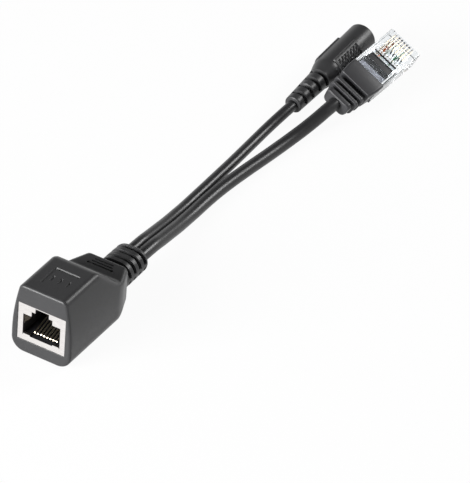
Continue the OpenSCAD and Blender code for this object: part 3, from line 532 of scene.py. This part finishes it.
def socket_rows():
    """Rings of a turned shape whose radius is the sum of a plain profile, the grooves of the strain
    relief and the two knurled grips, then back from the mouth into the insulator's seat."""
    turn = np.linspace(0, 2 * np.pi, 240, endpoint=False)[None]
    y = np.concatenate([
        np.linspace(0, socket_relief_end, 170), np.linspace(15.35, grip_start - 0.3, 26),
        np.linspace(grip_start - 0.2, grip_end + 0.2, 104), np.linspace(grip_end + 0.5, socket_end - 0.6, 8),
    ])[:, None]
    relief = 2.75 + 0.55 * y / socket_relief_end
    shoulder = 3.45 + (barrel_r - 3.45) * smooth_step((y - socket_relief_end) / 5.0 + 0.06)
    radius = np.where(y < socket_relief_end, relief, np.minimum(shoulder, barrel_r))
    # Grooves between the rings, which stop at a rib on two sides
    clear_of_ribs = smooth_step((np.abs(np.sin(turn + rib_turn)) - 0.3) / 0.1 + 0.5)
    for i in range(4):
        start = i * ring_pitch + ring_width
        end = start + ring_pitch - ring_width
        groove = smooth_step((y - start) / 0.18 + 0.5) * smooth_step((end - y) / 0.18 + 0.5)
        radius = radius - groove * clear_of_ribs * (radius - core_r)
    # The first ring's own edge is rounded
    radius = radius - 0.45 * (1 - np.sqrt(1 - np.clip(1 - y / 0.45, 0, 1) ** 2))
    # Grips: raised where the angle is near either side, with slanting grooves across them
    off_side = np.abs((turn + np.pi / 2) % np.pi - np.pi / 2)
    pad = (smooth_step((grip_half - off_side) / np.radians(7) + 0.5)
           * smooth_step((y - grip_start) / 0.35) * smooth_step((grip_end - y) / 0.35))
    round_the_side = ((turn + np.pi / 2) % np.pi - np.pi / 2) * barrel_r
    ridge = (0.5 + 0.5 * np.cos(2 * np.pi * (y - knurl_slope * round_the_side) / knurl_pitch)) ** 2
    cross_ridge = 0.5 + 0.5 * np.cos(2 * np.pi * (y + cross_slope * round_the_side) / knurl_pitch)
    face = (smooth_step((grip_half - np.radians(14) - off_side) / np.radians(5) + 0.5)
            * smooth_step((y - grip_start - 0.6) / 0.3) * smooth_step((grip_end - 0.9 - y) / 0.3))
    radius = radius + pad * grip_rise - face * (knurl_depth * (1 - ridge) + cross_depth * cross_ridge)
    y = y + 0 * turn
    edge = np.radians(np.linspace(0, 90, 7))[:, None] + 0 * turn
    y = np.vstack([y, socket_end - 0.5 + 0.5 * np.sin(edge)])
    radius = np.vstack([radius, barrel_r - 0.5 + 0.5 * np.cos(edge)])
    for depth, r in ((0.0, seat_r + 0.12), (0.12, seat_r), (seat_depth, seat_r)):
        y = np.vstack([y, socket_end - depth + 0 * turn])
        radius = np.vstack([radius, r + 0 * turn])
    return np.stack([radius * np.cos(turn), y, radius * np.sin(turn)], 2)


socket = skin("power_socket_moulding", placed(socket_rows(), socket_exit, **socket_turn))
socket.data.materials.append(soft_black)
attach(socket, "root")
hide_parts("power_socket")
dress(["socket_insulator"], insert_black)
dress(["socket_sleeve", "socket_pin"], nickel)


# Network plug's boot
# A black moulding on the lead's end: a rounded rear, three bars with deep grooves between them, a
# smooth block over the clear body, and a thin guard that reaches forward under the latch.
boot_half_w = 6.1
boot_half_h = 3.65
plug_half_w = 5.84
plug_half_h = 3.3
boot_end = 15.3
plug_start = 12.2
plug_nose = 34.7
bar_width = 1.15
bars = ((0.5, 4.65, 2.7), (2.85, 5.3, 3.02), (5.2, 5.6, 3.25))
block_start = 8.25
boot_core = (3.8, 1.9)
strain_bar_y = (15.5, 18.2)


def rounded_rings(stations, draft=0.0):
    """Rings of rectangles with round corners. Each station gives y, half width, half height, corner
    radius and the height of its middle. A ring has a quarter circle at each corner, and the draft is
    the share of its width that it loses from its top to its bottom."""
    y, a, b, c, mid = np.array(stations, float).T[:, :, None]
    quarter = np.radians(np.linspace(0, 90, 12))
    turn = np.concatenate([quarter + k * np.pi / 2 for k in range(4)])[None]
    sign_x = np.repeat([1, -1, -1, 1], 12)[None]
    sign_z = np.repeat([1, 1, -1, -1], 12)[None]
    x = sign_x * (a - c) + c * np.cos(turn)
    z = mid + sign_z * (b - c) + c * np.sin(turn)
    x = x * (1 - draft * (1 - (z - mid) / b) / 2)
    return np.stack([x, y + 0 * turn, z], 2)


def bar_stations(start, end, a, b, c, edge=0.28):
    """A bar standing between two grooves, its two edges rounded over."""
    turn = np.radians(np.linspace(0, 90, 4))
    along = edge * (1 - np.cos(turn))
    inward = edge * (1 - np.sin(turn))
    rise = [(start + y, a - i, b - i, c, 0) for y, i in zip(along, inward)]
    fall = [(end - y, a - i, b - i, c, 0) for y, i in zip(along[::-1], inward[::-1])]
    return rise + fall


rear_turn = np.radians(np.linspace(0, 90, 9))
boot_stations = [(0, 1.9, 1.2, 0.8, 0)]
boot_stations += [
    (0.5 * (1 - np.cos(t)), 3.3 + 1.2 * np.sin(t), 1.9 + 0.65 * np.sin(t), 1.5, 0) for t in rear_turn
]
for i, (start, a, b) in enumerate(bars):
    bar = bar_stations(start, start + bar_width, a, b, 1.3, 0.22)
    boot_stations += bar[4:] if i == 0 else bar
    following = block_start if i == 2 else bars[i + 1][0]
    boot_stations += [(start + bar_width + 0.02, *boot_core, 1.2, 0), (following - 0.02, *boot_core, 1.2, 0)]
boot_stations += bar_stations(block_start, block_start + 1, boot_half_w - 0.4, boot_half_h - 0.15, 0.9)[:4]
boot_stations += [(plug_start, boot_half_w, boot_half_h, 0.8, 0)]
boot_stations += bar_stations(plug_start, boot_end, boot_half_w, boot_half_h, 0.75)[4:]
# Into the seat of the clear body, then forwards along the tongue inside it, which the bar presses down
tongue = (4.3, 2.13, 0.3)
pressed_tongue = (4.3, 1.6, 0.3, -0.53)
boot_stations += [
    (boot_end, plug_half_w + 0.05, plug_half_h + 0.05, 0.35, 0),
    (plug_start, plug_half_w + 0.02, plug_half_h + 0.02, 0.3, 0),
    (plug_start, *tongue, 0), (strain_bar_y[0] - 0.05, *tongue, 0),
    (strain_bar_y[0] - 0.04, *pressed_tongue), (strain_bar_y[1] + 0.04, *pressed_tongue),
    (strain_bar_y[1] + 0.05, *tongue, 0), (plug_start + 10.0, *tongue, 0),
]
boot = skin("plug_boot_moulding", placed(rounded_rings(boot_stations, 0.12), plug_exit, **plug_turn))
guard_half = 4.6
guard_tip = 27.9
tip_turn = np.radians(np.linspace(0, 88, 8))
guard_mid = -5.025
guard_thick = 0.425
tip_r = 1.4
guard_stations = [
    (8.3, guard_half - 0.2, 0.33, 0.25, -3.5), (10.5, guard_half, 0.62, 0.3, -4.02),
    (12.75, guard_half, 0.925, 0.3, -4.52), (boot_end - 0.05, guard_half, 0.925, 0.3, -4.52),
    (boot_end + 0.25, guard_half, guard_thick, 0.3, guard_mid),
]
guard_stations += [
    (guard_tip - tip_r + tip_r * np.sin(t), guard_half - tip_r * (1 - np.cos(t)), guard_thick, 0.3, guard_mid)
    for t in tip_turn
]
guard = skin("latch_guard", placed(rounded_rings(guard_stations), plug_exit, **plug_turn))
# A block of the boot's black PVC fills the clamp recess of the clear body, so that the recess renders dark:
# this is painted shade, not a part of the plug
recess_shade_stations = [(19.82, 4.38, 1.0, 0.1, 1.7), (22.78, 4.38, 1.0, 0.1, 1.7)]
recess_shade = skin("clamp_recess_painted_shade", placed(rounded_rings(recess_shade_stations), plug_exit, **plug_turn))
# The boot is moulded in a slightly greyer PVC than the housing
boot_black = moulded_pvc("boot_pvc", "#333335", "#3a3a3c", 0.38, 0.14, 0.008)
for piece in (boot, guard, recess_shade):
    piece.data.materials.append(boot_black)
    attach(piece, "root")
    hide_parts("plug_boot")


# Network plug
# A clear polycarbonate body moulded in one piece with its latch. Eight gold-plated blades stand in
# slots at its nose, over four coloured wires that run to them from the lead.
# Clear moulded polycarbonate: the wires and blades show through it, slightly softened by its skin
clear = bpy.data.materials.new("clear_polycarbonate")
clear.use_nodes = True
tree = clear.node_tree
shader = tree.nodes["Principled BSDF"]
place = add_node(tree, "TexCoord").outputs["Object"]
ripple = add_node(tree, "TexNoise", Vector=place, Scale=300.0, Detail=1.0).outputs["Fac"]
polish = add_node(tree, "MapRange", Value=ripple, To_Min=0.05, To_Max=0.12)
tree.links.new(polish.outputs["Result"], shader.inputs["Roughness"])
shader.inputs["Base Color"].default_value = linear("#f6f9fb")
shader.inputs["Transmission Weight"].default_value = 1.0
shader.inputs["IOR"].default_value = 1.4
dress(["plug_body"], clear)
# The bar of the clear body that presses on the sheath, frosted where it was ejected
frosted = bpy.data.materials.new("frosted_polycarbonate")
frosted.use_nodes = True
tree = frosted.node_tree
shader = tree.nodes["Principled BSDF"]
place = add_node(tree, "TexCoord").outputs["Object"]
frost = add_node(tree, "TexNoise", Vector=place, Scale=900.0, Detail=2.0).outputs["Fac"]
haze = add_node(tree, "MapRange", Value=frost, To_Min=0.3, To_Max=0.5)
tree.links.new(haze.outputs["Result"], shader.inputs["Roughness"])
mix = add_node(tree, "Mix", {"data_type": "RGBA"}, Factor=frost, _6=linear("#a9a9b6"), _7=linear("#cfcfd8"))
tree.links.new(mix.outputs[2], shader.inputs["Base Color"])
shader.inputs["Transmission Weight"].default_value = 0.3
strain_bar_stations = [(strain_bar_y[0], 4.5, 0.4, 0.15, 1.55), (strain_bar_y[1], 4.5, 0.4, 0.15, 1.55)]
strain_bar = skin("strain_bar", placed(rounded_rings(strain_bar_stations), plug_exit, **plug_turn))
strain_bar.data.materials.append(frosted)
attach(strain_bar, "root")
# The blades are sheared from sheet, so their thin edges are matt
sheared_gold = plated("sheared_gold_plated_bronze", "#f3dfae", 0.5, 0.1)
dress([f"plug_blade_{i}" for i in contact_numbers], sheared_gold)

contact_pitch = 1.016
data_wire_d = 0.9
data_offset = data_wire_d / 2 + 0.06
for k, (number, material) in enumerate(insulations.items()):
    x = (number - 4.5) * contact_pitch
    dx = data_offset * (-1 if k < 2 else 1)
    dz = data_offset * (1 if k % 2 == 0 else -1)
    route = [
        (dx, 0, dz), (dx, plug_start - 3.4, dz), (dx * 0.7 + x * 0.3, plug_start - 1.4, dz * 1.2),
        (x, plug_start + 3, dz * 1.3), (x, plug_start + 6, dz), (x, plug_start + 9.4, 0),
        (x, plug_start + 11, 0), (x, plug_nose - 2.2, 0),
    ]
    path = spline(route, (0, 1, 0), (0, 1, 0), 0.5)
    rows = placed(rings_along(path, data_wire_d / 2, 16), plug_exit, **plug_turn)
    wire = skin(f"plug_wire_{number}_insulation", rows)
    wire.data.materials.append(material)
    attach(wire, "root")
    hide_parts(f"plug_wire_{number}")

# Both leads, each with the pieces at its end
lead("power_lead", power_route, heading(**socket_turn), power_lead_d)
lead("network_lead", network_route, heading(**plug_turn), network_lead_d)


# Floor and light
# A pale surface under the cable and a white surround. One large soft lamp stands low at the front
# left, and a smaller one at the rear right draws the long highlights on the leads.
def lamp(name, place, target, width, height, power):
    """Soft rectangular lamp that faces a target."""
    data = bpy.data.lights.new(name, "AREA")
    data.shape = "RECTANGLE"
    data.size = width
    data.size_y = height
    data.energy = power
    light = bpy.data.objects.new(name, data)
    bpy.context.scene.collection.objects.link(light)
    toward = np.array(place) - np.array(target)
    toward = toward / np.linalg.norm(toward)
    across = np.cross([0, 0, 1], toward)
    across /= np.linalg.norm(across)
    upward = np.cross(toward, across)
    light.matrix_world = Matrix(
        [(across[i], upward[i], toward[i], place[i]) for i in range(3)] + [(0, 0, 0, 1)])


lamp("front_left_softbox", (-0.38, -0.90, 0.30), (0, -0.01, 0.01), 0.6, 0.6, 26.0)
lamp("rear_right_softbox", (0.46, 0.80, 0.54), (0, 0.06, 0), 0.36, 0.3, 6.0)

world = bpy.data.worlds.new("white_surround")
bpy.context.scene.world = world
world.use_nodes = True
tree = world.node_tree
tree.nodes.clear()
ray = add_node(tree, "LightPath").outputs
direction = add_node(tree, "TexCoord").outputs["Generated"]
up = add_node(tree, "SeparateXYZ", Vector=direction).outputs["Z"]
# The white surround falls off to a dim ceiling, which only reflections show
ceiling = add_node(tree, "MapRange", {"interpolation_type": "SMOOTHSTEP"}, Value=up, From_Min=0.15,
                   From_Max=0.65, To_Min=1.0, To_Max=0.12)
straight = add_node(tree, "Math", {"operation": "MAXIMUM"}, _0=ray["Is Camera Ray"],
                    _1=ray["Is Transmission Ray"])
mirrored = add_node(tree, "Mix", {"data_type": "FLOAT"}, Factor=ray["Is Glossy Ray"], _2=0.08,
                    _3=ceiling.outputs["Result"])
strength = add_node(tree, "Mix", {"data_type": "FLOAT"}, Factor=straight.outputs[0], _2=mirrored.outputs[0],
                    _3=1.0)
surround = add_node(tree, "Background", Color=(1, 1, 1, 1), Strength=strength.outputs[0])
add_node(tree, "OutputWorld", Surface=surround.outputs[0])

floor_size = 4.0
floor_mesh = bpy.data.meshes.new("floor")
corners = [(x * floor_size, y * floor_size, 0) for x, y in ((-1, -1), (1, -1), (1, 1), (-1, 1))]
floor_mesh.from_pydata(corners, [], [(0, 1, 2, 3)])
floor = bpy.data.objects.new("floor", floor_mesh)
bpy.context.scene.collection.objects.link(floor)
# Matt white paper, which keeps a trace of the shadow and reads as white where it is seen or reflected
paper = bpy.data.materials.new("white_paper")
paper.use_nodes = True
tree = paper.node_tree
tree.nodes.clear()
ray = add_node(tree, "LightPath").outputs
matt = add_node(tree, "BsdfDiffuse", Color=linear("#f4f4f4"))
glow = add_node(tree, "Emission", Color=(1, 1, 1, 1), Strength=1.0)
seen = add_node(tree, "Math", {"operation": "MAXIMUM"}, _0=ray["Is Camera Ray"],
                _1=ray["Is Transmission Ray"])
seen = add_node(tree, "Math", {"operation": "MAXIMUM"}, _0=seen.outputs[0], _1=ray["Is Glossy Ray"])
share = add_node(tree, "Math", {"operation": "MULTIPLY"}, _0=seen.outputs[0], _1=0.94)
surface = add_node(tree, "MixShader", _0=share.outputs[0], _1=matt.outputs[0], _2=glow.outputs[0])
add_node(tree, "OutputMaterial", Surface=surface.outputs[0])
floor.data.materials.append(paper)

bpy.context.scene.view_settings.view_transform = "Standard"
